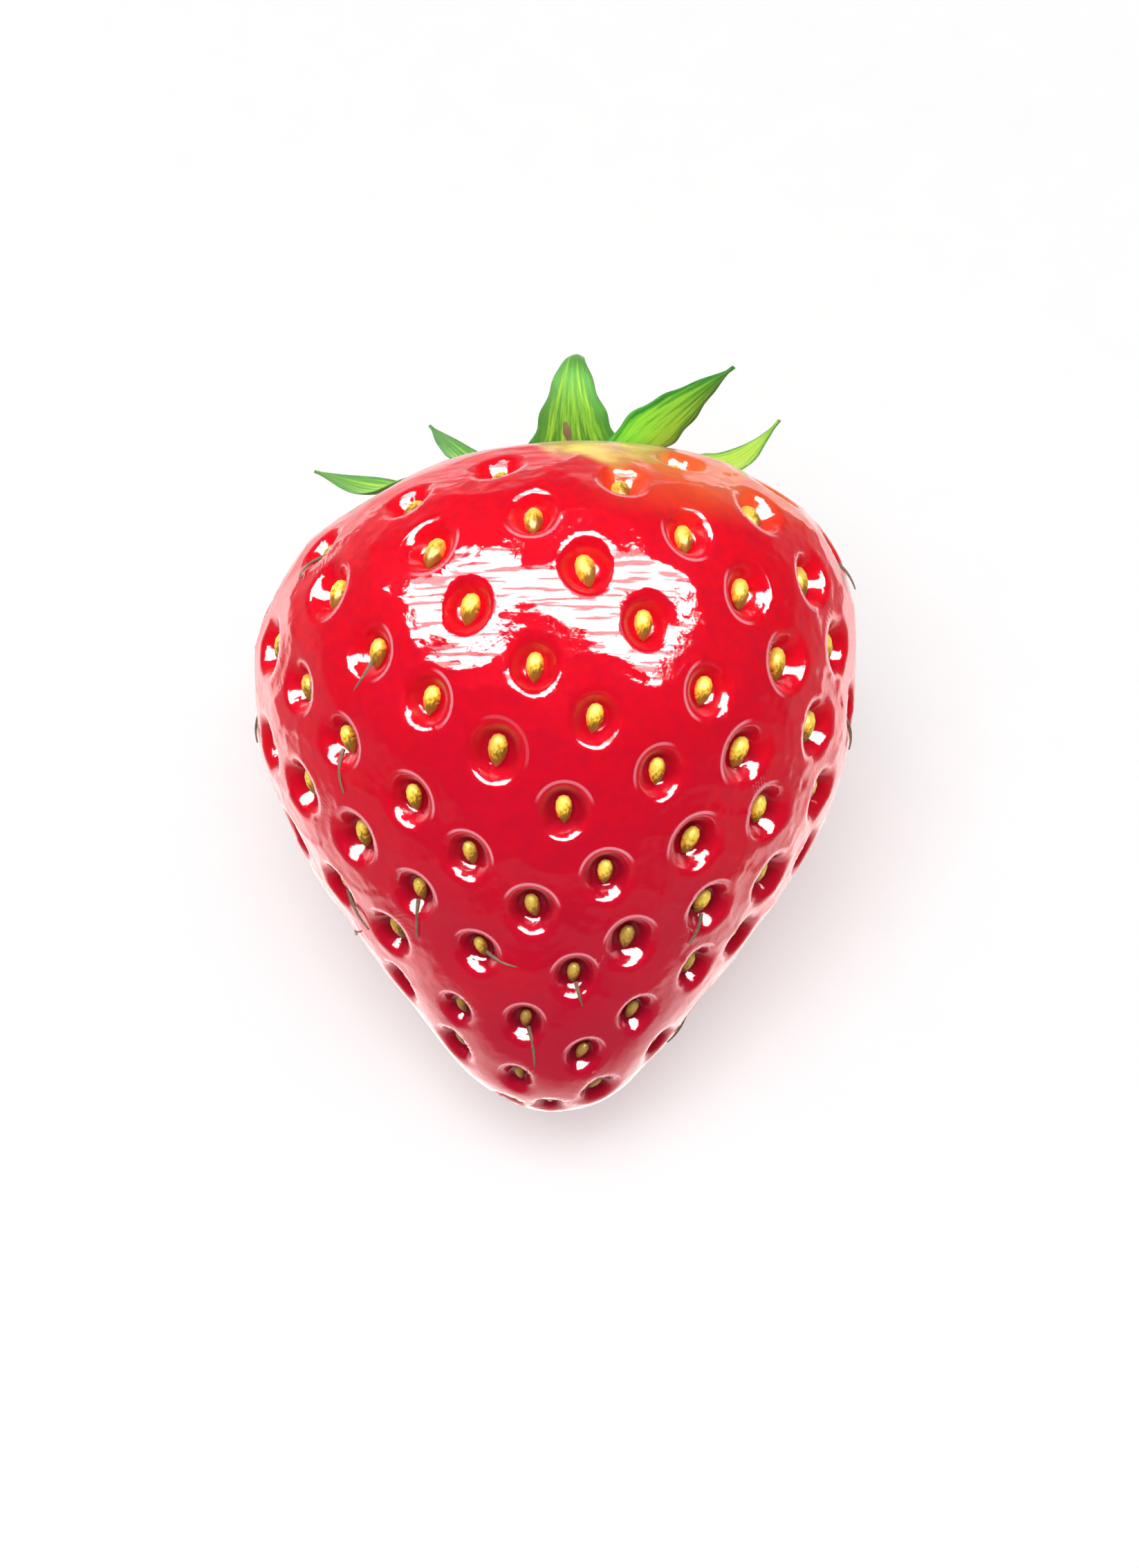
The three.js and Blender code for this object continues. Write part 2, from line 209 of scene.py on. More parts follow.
# The camera looks at the face, tipped a little towards the berry's tip, as the berry lies on its far side.
PICTURE_TILT = radians(8)
CAMERA_ELEVATION = pi / 2 - AXIS_RISE - PICTURE_TILT
TO_CAMERA = Vector((0, -cos(CAMERA_ELEVATION), sin(CAMERA_ELEVATION)))
PICTURE_UP = Vector((0, sin(CAMERA_ELEVATION), cos(CAMERA_ELEVATION)))
PICTURE_RIGHT = Vector((1, 0, 0))
PICTURE_MIDDLE = MM * np.array([[0.857, -2.62, 18.65]])
CAMERA_DISTANCE = 251 * MM
CAMERA_LENS = 100


def smoothstep(value, low, high):
    share = np.clip((value - low) / (high - low), 0, 1)
    return share * share * (3 - 2 * share)


def draw(index, use):
    """A repeatable draw between -1 and 1."""
    mixed = sin(index * 12.9898 + use * 78.233) * 43758.5453
    return 2 * (mixed % 1) - 1


def curve_points(points, places):
    """Points of a smooth curve through all but the first and last of the points given."""
    index = np.minimum(places.astype(int), len(points) - 4)
    t = (places - index)[:, None]
    before, start, end, after = (points[index + step] for step in range(4))
    leave, arrive = (end - before) / 2, (after - start) / 2
    cubic = 2 * start - 2 * end + leave + arrive
    square = -3 * start + 3 * end - 2 * leave - arrive
    return cubic * t**3 + square * t**2 + leave * t + start


def outline_curve(steps=2400):
    mirrored = OUTLINE[[1, -2]] * (-1, 1)
    points = np.vstack([mirrored[:1], OUTLINE, mirrored[1:]])
    return curve_points(points, np.linspace(0, len(OUTLINE) - 1, steps + 1))


PROFILE = outline_curve()
POLARS = np.arctan2(np.abs(PROFILE[:, 0]), HEART[2] - PROFILE[:, 1])
REACHES = np.hypot(PROFILE[:, 0], PROFILE[:, 1] - HEART[2])


def lean_at(height):
    return TOP_LEAN * smoothstep(height, LEAN_FROM, LEAN_TO)


def unit(vectors):
    return vectors / np.linalg.norm(vectors, axis=-1, keepdims=True)


def skin_points(directions):
    """The smooth skin, in directions seen from the heart."""
    polar = np.arccos(np.clip(-directions[:, 2], -1, 1))
    points = directions * np.interp(polar, POLARS, REACHES)[:, None] + HEART
    points[:, 0] += lean_at(points[:, 2])
    points[:, 1] *= DEPTH_SHARE
    return points


def directions_to(points):
    """The directions from the heart in which the skin nearest to the points lies."""
    level = (points[:, 0] - lean_at(points[:, 2]), points[:, 1] / DEPTH_SHARE, points[:, 2] - HEART[2])
    return unit(np.stack(level, axis=1))


def skin_normals(directions, step=0.004):
    level = np.stack([-directions[:, 1], directions[:, 0], 0 * directions[:, 0]], axis=1)
    level[np.linalg.norm(level, axis=1) < step] = (1, 0, 0)
    level = unit(level)
    steep = np.cross(directions, level)
    ways = [
        skin_points(unit(directions + step * way)) - skin_points(unit(directions - step * way))
        for way in (level, steep)
    ]
    normals = unit(np.cross(*ways))
    inwards = np.sum(normals * directions, axis=1) < 0
    normals[inwards] *= -1
    return normals


def directions_at(azimuths, polars):
    around = np.sin(polars)
    return np.stack([around * np.sin(azimuths), -around * np.cos(azimuths), -np.cos(polars)], axis=-1)


def resting_point(steps=2000):
    """The middle of the spot that is pressed flat when the berry lies on its far side."""
    down = np.array([0, cos(AXIS_RISE), -sin(AXIS_RISE)])
    polars = pi * np.arange(steps) / steps
    points = skin_points(directions_at(pi, polars))
    return points[np.argmax(points @ down)] - PRESSED_DEPTH * down


REST = resting_point()
LAY_DOWN = np.array([[1, 0, 0], [0, sin(AXIS_RISE), -cos(AXIS_RISE)], [0, cos(AXIS_RISE), sin(AXIS_RISE)]])


def laid(points):
    """Points of the berry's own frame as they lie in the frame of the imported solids."""
    return (points - REST) @ LAY_DOWN


def achene_places():
    """Each achene's middle on the skin, its right, up and outward directions, size and index."""
    bands = (PROFILE[1:, 0] + PROFILE[:-1, 0]) * np.linalg.norm(np.diff(PROFILE, axis=0), axis=1)
    shares = np.concatenate([[0], np.cumsum(bands)]) / bands.sum()
    places = []
    for i in range(ACHENES):
        share = SEEDED_SHARE * ((i + 0.5) / ACHENES) ** CROWDING
        polar = np.interp(share, shares, POLARS)
        first = skin_points(directions_at(SPIRAL_START + i * GOLDEN_ANGLE, polar)[None])
        first += SCATTER * np.array([draw(i, 1), draw(i, 2), draw(i, 3)])
        direction = directions_to(first)
        centre = skin_points(direction)[0]
        normal = skin_normals(direction)[0]
        up = unit(np.array([0, 0, 1]) - normal[2] * normal)
        turn = ACHENE_TURN * draw(i, 4)
        up = up * cos(turn) + np.cross(normal, up) * sin(turn)
        grown = TIP_SCALE + (1 - TIP_SCALE) * smoothstep(centre[2], 0, FULL_SIZE_HEIGHT)
        size = grown * (1 + SIZE_SCATTER * draw(i, 5))
        if np.linalg.norm(centre - REST) > PRESSED_CLEAR:
            places.append((centre, np.cross(up, normal), up, normal, size, i))
    return places


PLACES = achene_places()


def size_property(name, description, millimetres):
    return FloatProperty(
        name=name, description=description, default=millimetres * MM, unit="LENGTH", precision=5
    )


def colour_property(name, description, colour):
    return FloatVectorProperty(name=name, description=description, default=colour, subtype="COLOR")


def strength_property(name, description, strength):
    return FloatProperty(name=name, description=description, default=strength, min=0.0)


class FleshSettings(bpy.types.PropertyGroup):
    pit_depth: size_property("Pit depth", "Depth of a full-sized pit", 0.85)
    pit_width: size_property("Pit width", "Across a full-sized pit", 3.05)
    pit_length: size_property("Pit length", "Along a full-sized pit", 3.4)
    lip_height: size_property("Lip height", "Swelling round a pit", 0.08)
    pillow_depth: size_property("Pillow depth", "How far the skin sinks towards each pit", 0.42)
    ripe_colour: colour_property("Ripe red", "Upper part of the fruit", (0.66, 0.002, 0.011))
    tip_colour: colour_property("Tip crimson", "Towards the tip", (0.42, 0.003, 0.022))
    neck_colour: colour_property("Neck yellow", "Unripe skin under the calyx", (0.95, 0.66, 0.16))


class AcheneSettings(bpy.types.PropertyGroup):
    length: size_property("Length", "Of a full-sized achene", 1.85)
    width: size_property("Width", "Of a full-sized achene", 1.12)
    thickness: size_property("Thickness", "Of a full-sized achene", 0.9)
    gold_colour: colour_property("Gold", "Of achenes on the upper part", (0.8, 0.5, 0.035))
    brown_colour: colour_property("Brown", "Of achenes near the tip", (0.2, 0.08, 0.03))


class CalyxSettings(bpy.types.PropertyGroup):
    thickness: size_property("Thickness", "Of a lobe along its midrib", 0.42)
    dark_colour: colour_property("Dark green", "Of edges and tips", (0.045, 0.17, 0.02))
    light_colour: colour_property("Light green", "Of the streaks between the veins", (0.42, 0.62, 0.06))


class StudioSettings(bpy.types.PropertyGroup):
    window_strength: strength_property("Window", "Brightness of the window in the gloss", 96.0)
    surround_strength: strength_property("Surround", "Brightness of the white walls", 0.58)
    rim_strength: strength_property("Rims", "Brightness of the paper and walls in the gloss", 3.5)
    key_power: FloatProperty(name="Key light", description="Of the soft light", default=0.9, unit="POWER")


def start_clean():
    if bpy.context.object and bpy.context.object.mode != "OBJECT":
        bpy.ops.object.mode_set(mode="OBJECT")
    bpy.ops.object.select_all(action="DESELECT")


def coordinates(mesh):
    found = np.empty(len(mesh.vertices) * 3)
    mesh.vertices.foreach_get("co", found)
    return found.reshape(-1, 3)


def move_vertices(mesh, points):
    mesh.vertices.foreach_set("co", np.ascontiguousarray(points).ravel())
    mesh.update()


def store(mesh, name, values):
    layer = mesh.attributes.get(name) or mesh.attributes.new(name, "FLOAT", "POINT")
    layer.data.foreach_set("value", np.ascontiguousarray(values, dtype=np.float32))


def join(objects, name):
    start_clean()
    for piece in objects:
        piece.select_set(True)
    bpy.context.view_layer.objects.active = objects[0]
    if len(objects) > 1:
        bpy.ops.object.join()
    made = bpy.context.object
    made.name = name
    made.data.name = name
    return made


def dress(piece, material, slot, *nodes):
    """Gives a finished piece its material and its body, and hides the imported solids that it stands for."""
    piece.data.materials.clear()
    piece.data.materials.append(material)
    start_clean()
    piece.select_set(True)
    bpy.context.view_layer.objects.active = piece
    bpy.ops.object.shade_smooth()
    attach(piece, "root")
    if nodes:
        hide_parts(*nodes)


def add(tree, kind, inputs=None, **settings):
    """A node with its settings and inputs, each input a value or the socket that feeds it."""
    made = tree.nodes.new(kind)
    for name, value in settings.items():
        setattr(made, name, value)
    for name, value in (inputs or {}).items():
        if isinstance(value, bpy.types.NodeSocket):
            tree.links.new(value, made.inputs[name])
        else:
            made.inputs[name].default_value = value
    return made


def arithmetic(tree, operation, *values):
    return add(tree, "ShaderNodeMath", dict(enumerate(values)), operation=operation).outputs[0]


def remap(tree, value, low, high, new_low=0.0, new_high=1.0):
    inputs = {"Value": value, "From Min": low, "From Max": high, "To Min": new_low, "To Max": new_high}
    return add(tree, "ShaderNodeMapRange", inputs, interpolation_type="SMOOTHSTEP").outputs[0]


def blend(tree, factor, first, second, blend_type="MIX"):
    first = (*first, 1) if isinstance(first, tuple) else first
    second = (*second, 1) if isinstance(second, tuple) else second
    inputs = {0: factor, 6: first, 7: second}
    return add(tree, "ShaderNodeMix", inputs, data_type="RGBA", blend_type=blend_type).outputs[2]


def attribute(tree, name):
    return add(tree, "ShaderNodeAttribute", attribute_name=name).outputs["Fac"]


def place_in_piece(tree):
    return add(tree, "ShaderNodeTexCoord").outputs["Object"]


def stretched(tree, across, along):
    """A pattern's coordinates from two attributes of the piece."""
    return add(tree, "ShaderNodeCombineXYZ", {"X": across, "Y": along}).outputs[0]


def speckle(tree, vector, scale, detail=2.0, roughness=0.5):
    inputs = {"Vector": vector, "Scale": scale, "Detail": detail, "Roughness": roughness}
    return add(tree, "ShaderNodeTexNoise", inputs).outputs["Fac"]


def ramp(tree, value, stops):
    made = add(tree, "ShaderNodeValToRGB", {"Fac": value})
    elements = made.color_ramp.elements
    while len(elements) < len(stops):
        elements.new(0.5)
    for element, (place, colour) in zip(elements, stops):
        element.position = place
        element.color = (*colour, 1)
    return made.outputs["Color"]


def bump(tree, height, distance, strength=1.0):
    inputs = {"Height": height, "Distance": distance, "Strength": strength}
    return add(tree, "ShaderNodeBump", inputs).outputs["Normal"]


def new_material(name, **sockets):
    material = bpy.data.materials.new(name)
    material.use_nodes = True
    tree = material.node_tree
    shader = tree.nodes["Principled BSDF"]
    for socket, value in sockets.items():
        shader.inputs[socket.replace("_", " ")].default_value = value
    return material, tree, shader


# Colours of the skin, of the painted shade in its pits and of the painted reflection on their lips, and its
# patterns' waves in a metre.
PIT_SHADE_COLOUR = (0.16, 0.001, 0.01)
LIP_REFLECTION_COLOUR = (0.76, 0.3, 0.36)
BLUSH_COLOUR = (0.8, 0.16, 0.035)
OCHRE_COLOUR = (0.6, 0.28, 0.06)
CLOUD_WAVES = 230
SKIN_WAVES = 420
GRAIN_WAVES = 1500
CLOUD_SHARE = 0.45
SKIN_BUMP = 0.03 * MM

# The gloss of the upper face is broken by thin strokes round the berry.
WAXY_MIDDLE = MM * np.array([0, -15.5, 29])
WAXY_REACH = 10 * MM
WAXY_END = 14 * MM
STROKE = (3 * MM, 3 * MM, 0.3 * MM)
STROKE_DULLNESS = 0.72


def waxy_strokes(tree, where):
    """How much of the gloss is missing: thin strokes near the middle of the upper face."""
    stroke = {"Vector": where, "Rotation": (AXIS_RISE - pi / 2, 0, 0), "Scale": STROKE}
    stroke = add(tree, "ShaderNodeMapping", stroke, vector_type="TEXTURE").outputs[0]
    strokes = remap(tree, speckle(tree, stroke, 1.0, 2), 0.53, 0.58)
    away = {0: where, 1: tuple(laid(WAXY_MIDDLE))}
    away = add(tree, "ShaderNodeVectorMath", away, operation="DISTANCE").outputs["Value"]
    near = remap(tree, away, WAXY_REACH, WAXY_END, STROKE_DULLNESS, 0)
    return arithmetic(tree, "MULTIPLY", strokes, near)


def flesh_material(settings):
    material, tree, shader = new_material(
        "Ripe flesh",
        Roughness=0.5,
        Specular_IOR_Level=0.04,
        Subsurface_Weight=0.18,
        Subsurface_Radius=(1.0, 0.2, 0.12),
        Subsurface_Scale=1.4 * MM,
        Coat_Roughness=0.06,
        Coat_IOR=1.27,
        Sheen_Weight=0.42,
        Sheen_Roughness=0.24,
        Sheen_Tint=(1, 0.8, 0.78, 1),
    )
    where = place_in_piece(tree)
    height = attribute(tree, "height")
    clouds = speckle(tree, where, CLOUD_WAVES, 3)
    grain = speckle(tree, where, GRAIN_WAVES, 3)
    ripe, tip = tuple(settings.ripe_colour), tuple(settings.tip_colour)
    middle = tuple(0.7 * a + 0.3 * b for a, b in zip(ripe, tip))
    clouded = arithmetic(tree, "SUBTRACT", clouds, 0.5)
    clouded = arithmetic(tree, "MULTIPLY_ADD", clouded, CLOUD_SHARE, height)
    colour = ramp(tree, clouded, [(0.08, tip), (0.5, middle), (0.78, ripe)])
    colour = blend(tree, remap(tree, grain, 0.35, 0.7, 0, 0.35), colour, tip)
    # Painted shade: the pits are darkened, most towards the tip and least towards the calyx.
    pit_shade_by_height = remap(tree, height, 0.1, 0.85, 0.95, 0.2)
    painted_pit_shade = arithmetic(tree, "MULTIPLY", attribute(tree, "pit"), pit_shade_by_height)
    colour = blend(tree, painted_pit_shade, colour, PIT_SHADE_COLOUR)
    # Painted reflection: a thin pale arc on each pit's lip, on the side towards the middle of the face.
    off_lip = arithmetic(tree, "SUBTRACT", attribute(tree, "spread"), LIP_SPREAD)
    on_lip = remap(tree, arithmetic(tree, "ABSOLUTE", off_lip), 0.03, 0.075, 0.75, 0)
    painted_lip_reflection = arithmetic(tree, "MULTIPLY", on_lip, attribute(tree, "lip_reflection"))
    colour = blend(tree, painted_lip_reflection, colour, LIP_REFLECTION_COLOUR)
    colour = blend(tree, attribute(tree, "blush"), colour, BLUSH_COLOUR)
    neck = blend(tree, remap(tree, clouds, 0.38, 0.56), tuple(settings.neck_colour), OCHRE_COLOUR)
    colour = blend(tree, attribute(tree, "neck"), colour, neck)
    tree.links.new(colour, shader.inputs["Base Color"])
    skin = arithmetic(tree, "MULTIPLY_ADD", speckle(tree, where, SKIN_WAVES, 2), 3.0, grain)
    tree.links.new(bump(tree, skin, SKIN_BUMP), shader.inputs["Normal"])
    tree.links.new(bump(tree, skin, SKIN_BUMP), shader.inputs["Coat Normal"])
    gloss = arithmetic(tree, "SUBTRACT", 1.0, waxy_strokes(tree, where))
    tree.links.new(gloss, shader.inputs["Coat Weight"])
    return material


# Olive is the achenes' painted shade and also a random tone; the light gold is their painted light.
OLIVE = (0.2, 0.11, 0.015)
HIGHLIGHT_GOLD = (1.0, 0.82, 0.13)


def achene_material(settings):
    material, tree, shader = new_material(
        "Golden achenes", Roughness=0.4, Specular_IOR_Level=0.12, Coat_Weight=0.1, Coat_Roughness=0.2
    )
    along, tone, painted_tip_shade = (attribute(tree, name) for name in ("along", "tone", "painted_tip_shade"))
    gold, brown = tuple(settings.gold_colour), tuple(settings.brown_colour)
    across = attribute(tree, "across")
    shifted = arithmetic(tree, "MULTIPLY_ADD", tone, 9.0, across)
    streaks = speckle(tree, stretched(tree, shifted, along), 3.5, 3)
    # Painted light and shade: each achene is light gold towards its upper left and olive towards its lower
    # right, broken by its streaks.
    painted_light_slant = arithmetic(tree, "MULTIPLY_ADD", across, -0.45, along)
    shade = arithmetic(tree, "ADD", painted_light_slant, arithmetic(tree, "MULTIPLY_ADD", streaks, 2.2, -1.1))
    colour = ramp(tree, remap(tree, shade, -1.0, 1.0), [(0.2, OLIVE), (0.5, gold), (0.8, HIGHLIGHT_GOLD)])
    colour = blend(tree, arithmetic(tree, "MULTIPLY", tone, 0.35), colour, OLIVE)
    # Painted shade: the achenes darken to brown towards the tip.
    colour = blend(tree, painted_tip_shade, colour, brown)
    tree.links.new(colour, shader.inputs["Base Color"])
    tree.links.new(bump(tree, streaks, 0.03 * MM), shader.inputs["Normal"])
    return material


MIDDLE_GREEN = (0.15, 0.36, 0.03)
COOL_TINT = (0.42, 1, 0.9)


def leaf_material(settings):
    material, tree, shader = new_material(
        "Calyx green",
        Roughness=0.5,
        Specular_IOR_Level=0.1,
        Subsurface_Weight=0.12,
        Subsurface_Radius=(0.3, 0.6, 0.1),
        Subsurface_Scale=0.6 * MM,
        Sheen_Weight=0.1,
    )
    across, along, light, cool = (attribute(tree, name) for name in ("across", "along", "light", "cool"))
    dark, pale = tuple(settings.dark_colour), tuple(settings.light_colour)
    slow = arithmetic(tree, "MULTIPLY", along, 0.35)
    streaks = speckle(tree, stretched(tree, across, slow), 6.5, 5, 0.65)
    # Painted light and shade: each lobe's own "light" value lightens or darkens its green.
    shade = arithmetic(tree, "MULTIPLY_ADD", light, 0.4, streaks)
    edge = remap(tree, arithmetic(tree, "ABSOLUTE", across), 0.5, 1.05, 0, 0.26)
    tip = remap(tree, along, 0.5, 1.0, 0, 0.2)
    shade = arithmetic(tree, "SUBTRACT", shade, arithmetic(tree, "ADD", edge, tip))
    colour = ramp(tree, shade, [(0.42, dark), (0.52, MIDDLE_GREEN), (0.66, pale)])
    colour = blend(tree, cool, colour, COOL_TINT, "MULTIPLY")
    tree.links.new(colour, shader.inputs["Base Color"])
    tree.links.new(bump(tree, streaks, 0.12 * MM), shader.inputs["Normal"])
    return material


THREAD_BROWN = (0.2, 0.14, 0.09)
THREAD_DARK = (0.075, 0.05, 0.035)


def thread_material():
    material, tree, shader = new_material("Dried threads", Roughness=0.7, Specular_IOR_Level=0.1)
    where = place_in_piece(tree)
    colour = blend(tree, speckle(tree, where, 1800, 2), THREAD_BROWN, THREAD_DARK)
    tree.links.new(colour, shader.inputs["Base Color"])
    return material


STEM_GREENS = (0.2, 0.36, 0.06), (0.4, 0.5, 0.14)
PITH_COLOURS = (0.62, 0.66, 0.33), (0.42, 0.5, 0.2)


def stem_material():
    material, tree, shader = new_material("Cut stem", Roughness=0.5, Specular_IOR_Level=0.1)
    where = place_in_piece(tree)
    skin = blend(tree, speckle(tree, where, 900, 3), *STEM_GREENS)
    pith = blend(tree, speckle(tree, where, 2600, 2), *PITH_COLOURS)
    colour = blend(tree, attribute(tree, "cut"), skin, pith)
    tree.links.new(colour, shader.inputs["Base Color"])
    tree.links.new(bump(tree, speckle(tree, where, 2200, 2), 0.05 * MM), shader.inputs["Normal"])
    return material


# A spread is a share of a pit's oval outline.
PIT_FLOOR = 0.5
PIT_REACH = 3.4 * MM
LIP_SPREAD = 1.1
LIP_WIDTH = 0.2
PILLOW_SPREAD = 1.35
PILLOW_LIFT = 0.4
GATHER = 0.42 * MM
GATHER_FROM, GATHER_MOST, GATHER_END = 0.35, 1.2, 1.65
FACE_MIDDLE = MM * np.array([0.8, -16.4, 22])
# Pits this far from the face's middle get a painted reflection on their lip, growing to its full strength.
REFLECTION_FROM, REFLECTION_FULL = 4 * MM, 9 * MM


def pit_spread(points, place, settings):
    """Which points are near a pit, their spread, and how far they are from its middle."""
    centre, right, up, _, size, _ = place
    offsets = points - centre
    near = np.nonzero(np.sum(offsets**2, axis=1) < PIT_REACH**2)[0]
    across = offsets[near] @ right / (size * settings.pit_width / 2)
    along = offsets[near] @ up / (size * settings.pit_length / 2)
    return near, np.hypot(across, along), offsets[near]


def gather_round_pits(directions, settings):
    """Draws the mesh together on the walls of the pits, where the skin turns most."""
    points = skin_points(directions)
    shifts = np.zeros_like(points)
    for place in PLACES:
        near, spread, offsets = pit_spread(points, place, settings)
        pull = smoothstep(spread, GATHER_FROM, GATHER_MOST)
        pull = pull * (1 - smoothstep(spread, GATHER_MOST, GATHER_END))
        lengths = np.linalg.norm(offsets, axis=1)[:, None] + MM / 10
        shifts[near] -= GATHER * place[4] * pull[:, None] * offsets / lengths
    return directions_to(points + shifts)


def lip_reflection_side(place, offsets):
    """How far round a pit points lie on the side nearer to the face's middle, where its lip gets a painted
    reflection.
    """
    centre, right, up = place[:3]
    toward = FACE_MIDDLE - centre
    toward = np.array([toward @ right, toward @ up])
    away = np.linalg.norm(toward)
    level = np.stack([offsets @ right, offsets @ up], axis=1)
    facing = level @ toward / (away * np.linalg.norm(level, axis=1) + MM**2)
    return smoothstep(facing, 0.25, 0.6) * smoothstep(away, REFLECTION_FROM, REFLECTION_FULL)


def flesh_relief(points, settings):
    """The skin's height above its smooth form, how deep in a pit it is, its spread and its painted
    reflection arcs.
    """
    depth, pit, lips, sink, lip_reflection = np.zeros((5, len(points)))
    nearest = np.full(len(points), PIT_REACH / MM)
    for place in PLACES:
        near, spread, offsets = pit_spread(points, place, settings)
        size = place[4]
        closer = spread < nearest[near]
        nearest[near[closer]] = spread[closer]
        lip_reflection[near[closer]] = lip_reflection_side(place, offsets[closer])
        wall = 1 - smoothstep(spread, PIT_FLOOR, 1)
        depth[near] = np.maximum(depth[near], size * settings.pit_depth * wall)
        pit[near] = np.maximum(pit[near], wall)
        lip = np.exp(-(((spread - LIP_SPREAD) / LIP_WIDTH) ** 2))
        lips[near] = np.maximum(lips[near], size * settings.lip_height * lip)
        sink[near] += settings.pillow_depth * size * np.exp(-((spread / PILLOW_SPREAD) ** 2))
    relief = settings.pillow_depth * PILLOW_LIFT - sink - depth + lips * (1 - pit)
    return relief, {"pit": pit, "spread": nearest, "lip_reflection": lip_reflection}


def lumps(points, scale, seed):
    shift = Vector((seed, 0, 0))
    return np.array([noise.noise(Vector(point) * scale + shift) for point in points])


LUMP_DEPTH = 0.12 * MM
LUMP_WAVES = 160
RAG_WAVES = 420
NECK_EDGE = 6.3 * MM
NECK_REACH = 4.8 * MM
NECK_AZIMUTH = radians(8)
NECK_SPREAD = radians(28)
NECK_RAG = 1.3 * MM
NECK_FADE_IN, NECK_FADE_OUT = 0.6 * MM, 0.4 * MM
NECK_LOW, NECK_HIGH = 30 * MM, 34 * MM
BLUSH_AZIMUTH = radians(60)
BLUSH_LOW, BLUSH_HIGH = 31.5 * MM, 35.5 * MM


def unripe_marks(points):
    """Where the skin round the calyx is yellow, and where it is flushed with orange."""
    away = np.hypot(points[:, 0] - HUB[0], points[:, 1])
    azimuth = np.arctan2(points[:, 0] - HUB[0], -points[:, 1])
    ragged = lumps(points, RAG_WAVES, 9)
    drawn_out = np.exp(-(((azimuth - NECK_AZIMUTH) / NECK_SPREAD) ** 4))
    edge = NECK_EDGE + NECK_REACH * drawn_out + NECK_RAG * ragged
    inside = 1 - smoothstep(away, edge - NECK_FADE_IN, edge + NECK_FADE_OUT)
    neck = smoothstep(points[:, 2], NECK_LOW, NECK_HIGH) * inside
    turned = smoothstep(np.cos(azimuth - BLUSH_AZIMUTH), 0.45, 0.85)
    band = smoothstep(points[:, 2], BLUSH_LOW, BLUSH_HIGH) * turned
    return {"neck": neck, "blush": np.clip(0.85 * band * (0.85 + 0.5 * ragged), 0, 1)}


class STRAWBERRY_OT_flesh(bpy.types.Operator):
    """Model the red flesh, with a pit for each achene"""

    bl_idname = "strawberry.flesh"
    bl_label = "Flesh"

    def execute(self, context):
        settings = context.scene.strawberry_flesh
        start_clean()
        bpy.ops.mesh.primitive_cube_add(size=2)
        bpy.ops.object.mode_set(mode="EDIT")
        for _ in range(2):
            bpy.ops.mesh.subdivide(number_cuts=10)
        bpy.ops.object.mode_set(mode="OBJECT")
        flesh = bpy.context.object
        flesh.name = "flesh"
        directions = unit(np.tan(coordinates(flesh.data) * pi / 4))
        directions = gather_round_pits(directions, settings)
        points = skin_points(directions)
        relief, marks = flesh_relief(points, settings)
        relief += LUMP_DEPTH * lumps(points, LUMP_WAVES, 3)
        shaped = laid(points + skin_normals(directions) * relief[:, None])
        shaped[:, 2] = np.maximum(shaped[:, 2], 0)
        move_vertices(flesh.data, shaped)
        marks.update(unripe_marks(points), height=points[:, 2] / BERRY_HEIGHT)
        for name, values in marks.items():
            store(flesh.data, name, values)
        dress(flesh, flesh_material(settings), "fruit", "fruit")
        return {"FINISHED"}


ACHENE_SEGMENTS = 10
ACHENE_RINGS = 6
KEEL_HEIGHT = 0.14
KEEL_WIDTH = 0.22
ACHENE_LIFT = 0.22 * MM
LOW_ACHENE_SHARE = 0.8
SMALL_TO, FULL_FROM = 8 * MM, 27 * MM
BROWN_TO, GOLD_FROM = 3 * MM, 17 * MM
BROWN_SHARE = 0.8


